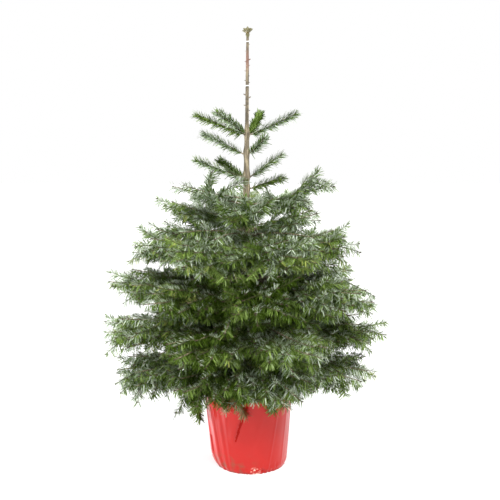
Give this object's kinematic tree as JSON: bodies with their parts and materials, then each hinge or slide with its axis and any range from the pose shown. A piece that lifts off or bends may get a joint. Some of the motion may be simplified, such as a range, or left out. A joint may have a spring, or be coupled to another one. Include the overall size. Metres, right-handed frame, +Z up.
{
  "type": "potted christmas tree",
  "caption": "Young Nordmann fir Christmas tree with a bare leader, open upper whorls and a full, rounded body of flat needle sprays, in a round nursery pot wrapped in red film.",
  "frame": {"origin": "on the ground, under the middle of the pot, on the flat underside of its film wrap", "axes": "+Z up along the trunk, +X to the tree's right, +Y to its back"},
  "size_m": [0.9574, 0.8264, 1.479],
  "materials": {
    "film": "glossy, pleated thin film",
    "pot": "satin black",
    "soil": "matt, crumbly, moist",
    "bark": "smooth olive-tan young bark",
    "needles": "satin green needles"
  },
  "bodies": {
    "root": {"bough_6_back": "bark", "bough_6_back_right": "bark", "bough_6_front": "bark", "bough_6_front_left": "bark", "bough_6_front_right": "bark", "bough_6_left": "bark", "bough_7_back_left": "bark", "bough_7_back_right": "bark", "bough_7_front_left": "bark", "bough_7_front_right": "bark", "bough_7_left": "bark", "bough_7_right": "bark", "bough_8_back": "bark", "bough_8_front_left": "bark", "bough_8_front_right": "bark", "bough_8_left": "bark", "bough_8_right": "bark", "film_wrap": "film", "foliage_1_back_right": "needles", "foliage_1_front_left": "needles", "foliage_1_left": "needles", "foliage_1_right": "needles", "foliage_2_left": "needles", "foliage_2_right": "needles", "foliage_3_back_left": "needles", "foliage_3_left": "needles", "foliage_3_low_right": "needles", "foliage_3_right": "needles", "foliage_4_back": "needles", "foliage_4_front": "needles", "foliage_4_high_left": "needles", "foliage_4_high_right": "needles", "foliage_4_low_left": "needles", "foliage_4_low_right": "needles", "foliage_5_back": "needles", "foliage_5_front_left": "needles", "foliage_5_front_right": "needles", "foliage_5_left": "needles", "foliage_5_right": "needles", "foliage_6_back": "needles", "foliage_6_back_right": "needles", "foliage_6_front": "needles", "foliage_6_front_left": "needles", "foliage_6_front_right": "needles", "foliage_6_left": "needles", "foliage_7_back_left": "needles", "foliage_7_back_right": "needles", "foliage_7_front_left": "needles", "foliage_7_front_right": "needles", "foliage_7_left": "needles", "foliage_7_right": "needles", "foliage_8_back": "needles", "foliage_8_front_left": "needles", "foliage_8_front_right": "needles", "foliage_8_left": "needles", "foliage_8_right": "needles", "nursery_pot": "pot", "potting_soil": "soil", "trunk": "bark"}
  },
  "joints": []
}
